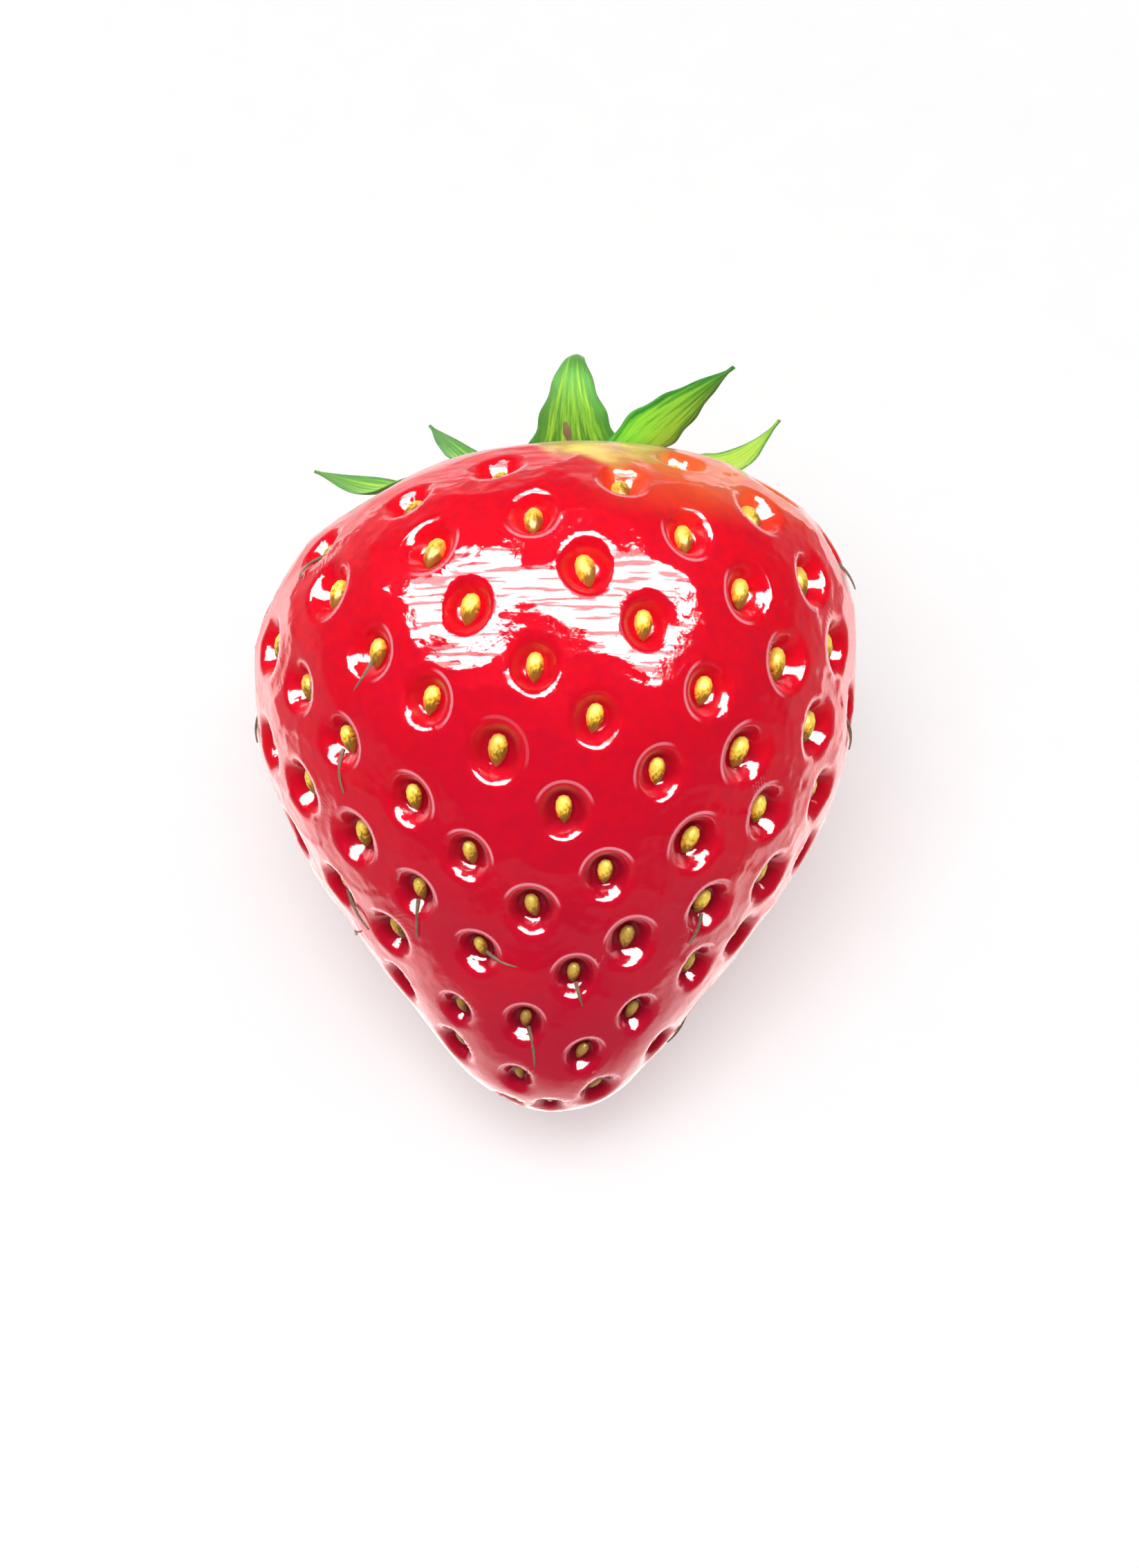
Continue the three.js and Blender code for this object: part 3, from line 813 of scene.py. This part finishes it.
class STRAWBERRY_OT_achenes(bpy.types.Operator):
    """Model one achene and set a copy in each pit"""

    bl_idname = "strawberry.achenes"
    bl_label = "Achenes"

    def execute(self, context):
        settings = context.scene.strawberry_achenes
        flesh = context.scene.strawberry_flesh
        start_clean()
        bpy.ops.mesh.primitive_uv_sphere_add(segments=ACHENE_SEGMENTS, ring_count=ACHENE_RINGS, radius=1)
        pattern = bpy.context.object
        bpy.ops.object.mode_set(mode="EDIT")
        bpy.ops.mesh.select_all(action="SELECT")
        bpy.ops.transform.rotate(value=pi / 2, orient_axis="X", center_override=(0, 0, 0))
        bpy.ops.object.mode_set(mode="OBJECT")
        across, along, out = coordinates(pattern.data).T
        keel = KEEL_HEIGHT * np.exp(-((across / KEEL_WIDTH) ** 2)) * (out > 0) * (1 - along**2)
        narrowing = 1 + 0.16 * along - 0.1 * np.maximum(0, -along) ** 2
        shape = np.stack(
            [
                settings.width / 2 * across * narrowing,
                settings.length / 2 * (along - 0.08 * (along < -0.9)),
                settings.thickness / 2 * (out * (1 + 0.1 * along) + keel),
            ],
            axis=1,
        )
        store(pattern.data, "across", across)
        store(pattern.data, "along", along)
        seat_depth = flesh.pit_depth + flesh.pillow_depth * (1 - PILLOW_LIFT) - ACHENE_LIFT
        copies = []
        for centre, right, up, normal, size, index in PLACES:
            copy = bpy.data.objects.new("achene", pattern.data.copy())
            context.collection.objects.link(copy)
            seat = centre - normal * size * seat_depth
            full = smoothstep(centre[2], SMALL_TO, FULL_FROM)
            grown = size * (LOW_ACHENE_SHARE + (1 - LOW_ACHENE_SHARE) * full)
            points = seat + grown * (shape @ np.array([right, up, normal]))
            move_vertices(copy.data, laid(points))
            count = len(points)
            # Painted shade: the lower achenes are given a brown share.
            brown = 1 - smoothstep(centre[2] + 2 * MM * draw(index, 7), BROWN_TO, GOLD_FROM)
            store(copy.data, "painted_tip_shade", np.full(count, BROWN_SHARE * brown))
            store(copy.data, "tone", np.full(count, max(0, draw(index, 8))))
            copies.append(copy)
        bpy.data.objects.remove(pattern)
        achenes = join(copies, "achenes")
        dress(achenes, achene_material(settings), "achene")
        return {"FINISHED"}


def threads(name, routes):
    """One mesh of thin tubes, each along a route of points with their radii, in the berry's own frame."""
    start_clean()
    curve = bpy.data.curves.new(name, "CURVE")
    curve.dimensions = "3D"
    curve.bevel_depth = 1
    curve.bevel_resolution = 1
    curve.use_fill_caps = True
    for points, widths in routes:
        spline = curve.splines.new("POLY")
        spline.points.add(len(points) - 1)
        for point, place, width in zip(spline.points, laid(np.array(points)), widths):
            point.co = (*place, 1)
            point.radius = width
    made = bpy.data.objects.new(name, curve)
    bpy.context.collection.objects.link(made)
    made.select_set(True)
    bpy.context.view_layer.objects.active = made
    bpy.ops.object.convert(target="MESH")
    return bpy.context.object


STYLE_RARITY = 0.7
STYLE_LOWEST = 3 * MM
STYLE_LENGTH = 2.0 * MM
STYLE_SCATTER = 0.6 * MM
STYLE_TURN = radians(50)
STYLE_BEND = 0.8 * MM
STYLE_RADIUS = 0.13 * MM
STYLE_ROOT_DEPTH = 0.42 * MM


class STRAWBERRY_OT_styles(bpy.types.Operator):
    """Hang a dried style on some of the achenes"""

    bl_idname = "strawberry.styles"
    bl_label = "Dried styles"

    def execute(self, context):
        length = context.scene.strawberry_achenes.length
        steps = np.linspace(0, 1, 9)[:, None]
        routes = []
        for centre, right, up, normal, size, index in PLACES:
            if draw(index, 6) < STYLE_RARITY or centre[2] < STYLE_LOWEST:
                continue
            reach = STYLE_LENGTH + STYLE_SCATTER * draw(index, 9)
            turn = STYLE_TURN * draw(index, 10)
            down = right * sin(turn) - up * cos(turn)
            level = np.cross(normal, down)
            start = centre + 0.3 * length * size * down - STYLE_ROOT_DEPTH * normal
            bend = STYLE_BEND * draw(index, 14)
            points = start + reach * steps * down + level * bend * steps**2
            points = points + normal * MM * (1.3 * steps - 0.9 * steps**2)
            widths = STYLE_RADIUS * (1 - 0.65 * steps[:, 0])
            routes.append((points, widths))
        styles = threads("styles", routes)
        dress(styles, thread_material(), "dried_thread")
        return {"FINISHED"}


def lobe_midrib(route, steps=400):
    """A lobe's midrib by its length: places and unit slopes at even shares."""
    route = MM * np.array(route, float)
    points = np.vstack([route[:1], route, route[-1:]])
    line = curve_points(points, np.linspace(0, len(route) - 1, steps + 1))
    run = np.concatenate([[0], np.cumsum(np.linalg.norm(np.diff(line, axis=0), axis=1))])
    slopes = unit(np.gradient(line, axis=0))
    return run / run[-1], line, slopes


def lobe_half_width(along, lobe):
    swell = LOBE_BASE_SHARE + (1 - LOBE_BASE_SHARE) * np.sin(pi / 2 * along / lobe.peak)
    beyond = np.clip((along - lobe.peak) / (1 - lobe.peak), 0, 1)
    narrowing = (1 - beyond**lobe.bulge) ** lobe.point
    shares = np.where(along < lobe.peak, swell, narrowing)
    return np.maximum(MM * lobe.width / 2 * shares, LOBE_TIP_HALF_WIDTH)


def lobe_surface(along, across, lobe, index):
    """Points of a lobe's middle surface, arched and veined."""
    outwards = directions_at(radians(lobe.azimuth), pi / 2)
    sideways = np.cross([0, 0, 1], outwards)
    shares, line, slopes = lobe_midrib(lobe.midrib)
    place = np.stack([np.interp(along, shares, line[:, k]) for k in range(2)], axis=1)
    slope = unit(np.stack([np.interp(along, shares, slopes[:, k]) for k in range(2)], axis=1))
    forwards = slope[:, :1] * outwards + slope[:, 1:] * np.array([0, 0, 1])
    turn = radians(lobe.roll) * smoothstep(along, *lobe.rolled)[:, None]
    side = sideways * np.cos(turn) + np.cross(forwards, sideways) * np.sin(turn)
    above = np.cross(forwards, side)
    half = lobe_half_width(along, lobe)
    ripple = 1 + 0.05 * np.sin(along * 31 + index) * np.abs(across) ** 3
    veins = -MIDRIB_DEPTH * np.exp(-((across / 0.07) ** 2))
    for share in VEIN_SHARES:
        beside = np.abs(across) - share * (1 - 0.3 * along)
        veins = veins - VEIN_DEPTH * np.exp(-((beside / 0.06) ** 2))
    lift = half * LOBE_GUTTER * across**2 + veins * (1 - along)
    return (
        HUB
        + place[:, :1] * outwards
        + place[:, 1:] * np.array([0, 0, 1])
        + sideways * (MM * lobe.sway * along**2)[:, None]
        + side * (half * across * ripple)[:, None]
        + above * lift[:, None]
    )


class STRAWBERRY_OT_sepals(bpy.types.Operator):
    """Model the calyx: its disc and its lobes"""

    bl_idname = "strawberry.sepals"
    bl_label = "Sepals"

    def execute(self, context):
        settings = context.scene.strawberry_calyx
        blades = []
        for index, lobe in enumerate(LOBES):
            start_clean()
            steps = {"x_subdivisions": BLADE_STEPS_ALONG, "y_subdivisions": BLADE_STEPS_ACROSS}
            bpy.ops.mesh.primitive_grid_add(**steps, size=2)
            blade = bpy.context.object
            along, across, _ = coordinates(blade.data).T
            along = (along + 1) / 2
            points = lobe_surface(along, across, lobe, index)
            move_vertices(blade.data, laid(points))
            store(blade.data, "along", along)
            store(blade.data, "across", across)
            store(blade.data, "light", np.full(len(points), lobe.light))
            store(blade.data, "cool", np.full(len(points), lobe.cool))
            thick = blade.vertex_groups.new(name="thick")
            for vertex, share in enumerate((1 - 0.75 * np.abs(across) ** 1.5) * (1 - 0.5 * along)):
                thick.add([vertex], float(share), "REPLACE")
            solidify = blade.modifiers.new("Thickness", "SOLIDIFY")
            solidify.thickness = settings.thickness
            solidify.offset = 0
            solidify.vertex_group = "thick"
            bpy.ops.object.modifier_apply(modifier="Thickness")
            blades.append(blade)
        start_clean()
        bpy.ops.mesh.primitive_cylinder_add(vertices=40, radius=1, depth=2)
        disc = bpy.context.object
        bpy.ops.object.mode_set(mode="EDIT")
        bpy.ops.mesh.select_all(action="SELECT")
        bpy.ops.mesh.bevel(offset=0.35, segments=4, affect="EDGES")
        bpy.ops.object.mode_set(mode="OBJECT")
        shape = coordinates(disc.data) * (HUB_RADIUS, HUB_RADIUS, DISC_HALF_DEPTH)
        move_vertices(disc.data, laid(HUB + shape))
        store(disc.data, "light", np.full(len(shape), DISC_LIGHT))
        blades.append(disc)
        sepals = join(blades, "sepals")
        dress(sepals, leaf_material(settings), "calyx", "calyx")
        return {"FINISHED"}


STAMENS = 22
STAMEN_LENGTH = 2.0 * MM
STAMEN_SCATTER = 0.5 * MM
STAMEN_LIFT = 0.6 * MM
STAMEN_SWAY = 0.5 * MM
STAMEN_RADIUS = 0.08 * MM
ANTHER_RADIUS = 0.2 * MM

# One stamen stands up as a scrap in front of the middle lobe.
SCRAP_INDEX = 10
SCRAP_AZIMUTH = radians(353)
SCRAP_LENGTH = 3.6 * MM
SCRAP_LIFT = 2.2 * MM


class STRAWBERRY_OT_stamens(bpy.types.Operator):
    """Lay the dried stamens round the calyx disc"""

    bl_idname = "strawberry.stamens"
    bl_label = "Dried stamens"

    def execute(self, context):
        steps = np.linspace(0, 1, 10)[:, None]
        routes = []
        for index in range(STAMENS):
            azimuth = 2 * pi * (index + 0.3 * draw(index, 11)) / STAMENS
            reach = STAMEN_LENGTH + STAMEN_SCATTER * draw(index, 12)
            lift = STAMEN_LIFT
            if index == SCRAP_INDEX:
                azimuth, reach, lift = SCRAP_AZIMUTH, SCRAP_LENGTH, SCRAP_LIFT
            outwards = directions_at(azimuth, pi / 2)
            sideways = np.cross([0, 0, 1], outwards)
            away = HUB_RADIUS * 0.8 + reach * steps
            rise = 0.15 * MM + lift * steps**2
            sway = STAMEN_SWAY * draw(index, 13) * steps**2
            points = HUB + outwards * away + sideways * sway + np.array([0, 0, 1]) * rise
            head = ANTHER_RADIUS * np.exp(-(((steps[:, 0] - 0.88) / 0.09) ** 2))
            routes.append((points, STAMEN_RADIUS + head))
        stamens = threads("stamens", routes)
        dress(stamens, thread_material(), "dried_thread")
        return {"FINISHED"}


STEM_SIDES = 40
STEM_SHARES = 0, 0.35, 0.8, 1
STEM_WIDTHS = 1.2, 1, 0.95, 1.05
STEM_RIBS = 7
STEM_RIB_DEPTH = 0.04
CUT_FROM = 0.999
CUT_DISH = 0.1 * MM


class STRAWBERRY_OT_stem(bpy.types.Operator):
    """Model the stub of the stalk with its cut end"""

    bl_idname = "strawberry.stem"
    bl_label = "Stem"

    def execute(self, context):
        start_clean()
        bpy.ops.mesh.primitive_cylinder_add(vertices=STEM_SIDES, radius=1, depth=1, end_fill_type="TRIFAN")
        stem = bpy.context.object
        bpy.ops.object.mode_set(mode="EDIT")
        bpy.ops.mesh.select_all(action="SELECT")
        bpy.ops.mesh.subdivide(number_cuts=7)
        bpy.ops.object.mode_set(mode="OBJECT")
        x, y, z = coordinates(stem.data).T
        share = z + 0.5
        around = np.arctan2(x, y)
        wide = np.interp(share, STEM_SHARES, STEM_WIDTHS) * (1 + STEM_RIB_DEPTH * np.cos(STEM_RIBS * around))
        spread = np.hypot(x, y)
        dish = -CUT_DISH * (1 - spread**2) * (share > CUT_FROM)
        height = STEM_LENGTH * share + dish
        radius = STEM_RADIUS * wide
        lean_x, lean_z = sin(-STEM_LEAN), cos(STEM_LEAN)
        points = np.stack(
            [
                STEM_FOOT[0] + radius * x * lean_z + height * lean_x,
                STEM_FOOT[1] + radius * y,
                STEM_FOOT[2] - radius * x * lean_x + height * lean_z,
            ],
            axis=1,
        )
        move_vertices(stem.data, laid(points))
        store(stem.data, "cut", (share > CUT_FROM) * smoothstep(spread, 0.97, 0.85))
        dress(stem, stem_material(), "stem", "stem")
        return {"FINISHED"}


# The gloss sees the floor bright in an oval ring, from just outside the berry to well behind it, tinted pink
# as painted red light bounced from the berry.
RING_ACROSS = 56 * MM
RING_ALONG = 90 * MM
RING_BACK = 60 * MM
RING_TINT = (1, 0.85, 0.82)
PAPER_WAVES = 300
PAPER_COLOURS = (0.48, 0.48, 0.48), (0.51, 0.51, 0.51)
SHADED_TO, LIT_FROM = 3 * MM, 14 * MM
HOLLOW_TO, RING_FROM = 8 * MM, 20 * MM
NEAR_PAPER, FAR_PAPER = 60 * MM, 240 * MM


def floor_material(settings):
    """White paper that lights itself a little, and less so just under the berry, as a painted contact
    shadow.
    """
    material, tree, shader = new_material("Pale floor", Roughness=0.9, Specular_IOR_Level=0.0)
    where = place_in_piece(tree)
    paper = blend(tree, speckle(tree, where, PAPER_WAVES, 2), *PAPER_COLOURS)
    tree.links.new(paper, shader.inputs["Base Color"])
    spot = add(tree, "ShaderNodeVectorMath", {0: where}, operation="LENGTH").outputs["Value"]
    # Painted shadow: the paper's own glow is dimmed round the spot where the berry rests.
    shaded = remap(tree, spot, SHADED_TO, LIT_FROM, 0.25, 1)
    plain = arithmetic(tree, "MULTIPLY", remap(tree, spot, NEAR_PAPER, FAR_PAPER, 0.47, 0.78), shaded)
    scale = (1 / RING_ACROSS, 1 / RING_ALONG, 0)
    ring = {"Vector": where, "Location": (0, -RING_BACK / RING_ALONG, 0), "Scale": scale}
    ring = add(tree, "ShaderNodeMapping", ring).outputs[0]
    away = add(tree, "ShaderNodeVectorMath", {0: ring}, operation="LENGTH").outputs["Value"]
    bright = remap(tree, away, 0.62, 0.9, 0.13 * settings.rim_strength, 0.9 * settings.rim_strength)
    bright = arithmetic(tree, "MULTIPLY", bright, remap(tree, away, 0.96, 1.15, 1, 0))
    # Painted shade in the gloss: the bright ring fades out under the berry.
    bright = arithmetic(tree, "MULTIPLY", bright, remap(tree, spot, HOLLOW_TO, RING_FROM, 0.1, 1))
    gloss = add(tree, "ShaderNodeLightPath").outputs["Is Glossy Ray"]
    seen = add(tree, "ShaderNodeMix", {0: gloss, 2: plain, 3: bright}).outputs[0]
    tree.links.new(seen, shader.inputs["Emission Strength"])
    tree.links.new(blend(tree, gloss, (1, 1, 1), RING_TINT), shader.inputs["Emission Color"])
    return material


# Edges of the window in the gloss: angles above and beside the way to the camera, each over a soft range.
WINDOW_BOTTOM = radians(15), radians(18)
WINDOW_TOP = radians(64), radians(67)
WINDOW_SIDE = radians(45), radians(49)
WINDOW_STEP = radians(-15), radians(-4)
STEP_DROP = radians(17)
WALL_EDGE = cos(radians(104)), cos(radians(150))
DARK_CEILING = 0.05
RAG = 0.5
RAG_SCALE = 5


def light_room(settings):
    """White walls, and in the gloss alone a soft window above the camera with a dark ceiling round it."""
    world = bpy.data.worlds.new("Studio")
    bpy.context.scene.world = world
    world.use_nodes = True
    tree = world.node_tree
    way = add(tree, "ShaderNodeTexCoord").outputs["Generated"]

    def along(direction):
        inputs = {0: way, 1: tuple(direction)}
        return add(tree, "ShaderNodeVectorMath", inputs, operation="DOT_PRODUCT").outputs["Value"]

    toward, upward, sideward = along(TO_CAMERA), along(PICTURE_UP), along(PICTURE_RIGHT)
    rag = arithmetic(tree, "MULTIPLY_ADD", speckle(tree, way, RAG_SCALE, 4), RAG, -RAG / 2)
    height = arithmetic(tree, "ARCTAN2", upward, toward)
    rise = arithmetic(tree, "ADD", height, rag)
    side = arithmetic(tree, "ADD", arithmetic(tree, "ARCSINE", sideward), rag)
    low_edge = remap(tree, rise, *WINDOW_BOTTOM)
    stepped = arithmetic(tree, "ADD", rise, remap(tree, side, *WINDOW_STEP, 0, STEP_DROP))
    high_edge = remap(tree, stepped, *WINDOW_TOP, 1, 0)
    side_edge = remap(tree, arithmetic(tree, "ABSOLUTE", side), *WINDOW_SIDE, 1, 0)
    window = arithmetic(tree, "MULTIPLY", arithmetic(tree, "MULTIPLY", low_edge, high_edge), side_edge)
    walls = remap(tree, toward, *WALL_EDGE, DARK_CEILING, settings.rim_strength)
    gloss = arithmetic(tree, "MULTIPLY_ADD", window, settings.window_strength, walls)
    rays = add(tree, "ShaderNodeLightPath").outputs
    seen = {0: rays["Is Glossy Ray"], 2: settings.surround_strength, 3: gloss}
    seen = add(tree, "ShaderNodeMix", seen).outputs[0]
    seen = add(tree, "ShaderNodeMix", {0: rays["Is Camera Ray"], 2: seen, 3: 1.0}).outputs[0]
    background = tree.nodes["Background"]
    background.inputs["Color"].default_value = (1, 1, 1, 1)
    tree.links.new(seen, background.inputs["Strength"])


FLOOR_SIZE = 4
FLOOR_DROP = 0.2 * MM
KEY_SIZE = 220 * MM
KEY_DISTANCE = 350 * MM
KEY_WAY = (0.95 * TO_CAMERA + 0.3 * PICTURE_UP - 0.12 * PICTURE_RIGHT).normalized()
NEAREST_SEEN = 10 * MM


class STRAWBERRY_OT_studio(bpy.types.Operator):
    """Set up the floor, the soft light and the camera"""

    bl_idname = "strawberry.studio"
    bl_label = "Studio"

    def execute(self, context):
        settings = context.scene.strawberry_studio
        start_clean()
        bpy.ops.mesh.primitive_plane_add(size=FLOOR_SIZE, location=(0, 0, -FLOOR_DROP))
        floor = bpy.context.object
        floor.name = "floor"
        floor.data.materials.append(floor_material(settings))
        light_room(settings)
        middle = Vector(laid(PICTURE_MIDDLE)[0])
        bpy.ops.object.light_add(type="AREA", location=middle + KEY_DISTANCE * KEY_WAY)
        key = bpy.context.object
        key.name = "key light"
        key.rotation_mode = "QUATERNION"
        key.rotation_quaternion = KEY_WAY.to_track_quat("Z", "Y")
        key.data.size = KEY_SIZE
        key.data.energy = settings.key_power
        key.visible_glossy = False
        bpy.ops.object.camera_add()
        camera = bpy.context.object
        turn = Matrix((PICTURE_RIGHT, PICTURE_UP, TO_CAMERA)).transposed()
        camera.matrix_world = Matrix.Translation(middle + CAMERA_DISTANCE * TO_CAMERA) @ turn.to_4x4()
        camera.data.lens = CAMERA_LENS
        camera.data.clip_start = NEAREST_SEEN
        context.scene.camera = camera
        context.scene.view_settings.view_transform = "Standard"
        return {"FINISHED"}


STEPS = ("flesh", "achenes", "styles", "sepals", "stamens", "stem", "studio")


class STRAWBERRY_PT_sidebar(bpy.types.Panel):
    """Lists the steps that model the strawberry"""

    bl_idname = "STRAWBERRY_PT_sidebar"
    bl_label = "Strawberry"
    bl_space_type = "VIEW_3D"
    bl_region_type = "UI"
    bl_category = "Strawberry"

    def draw(self, context):
        for step in STEPS:
            self.layout.operator("strawberry." + step)
        for group in GROUPS:
            box = self.layout.box()
            settings = getattr(context.scene, group)
            for name in settings.__annotations__:
                box.prop(settings, name)


GROUPS = {
    "strawberry_flesh": FleshSettings,
    "strawberry_achenes": AcheneSettings,
    "strawberry_calyx": CalyxSettings,
    "strawberry_studio": StudioSettings,
}
CLASSES = (
    *GROUPS.values(),
    STRAWBERRY_OT_flesh,
    STRAWBERRY_OT_achenes,
    STRAWBERRY_OT_styles,
    STRAWBERRY_OT_sepals,
    STRAWBERRY_OT_stamens,
    STRAWBERRY_OT_stem,
    STRAWBERRY_OT_studio,
    STRAWBERRY_PT_sidebar,
)


def register():
    for made in CLASSES:
        bpy.utils.register_class(made)
    for name, group in GROUPS.items():
        setattr(bpy.types.Scene, name, PointerProperty(type=group))


def unregister():
    for name in GROUPS:
        delattr(bpy.types.Scene, name)
    for made in reversed(CLASSES):
        bpy.utils.unregister_class(made)


def main():
    register()
    for step in STEPS:
        getattr(bpy.ops.strawberry, step)()


if __name__ == "__main__":
    main()
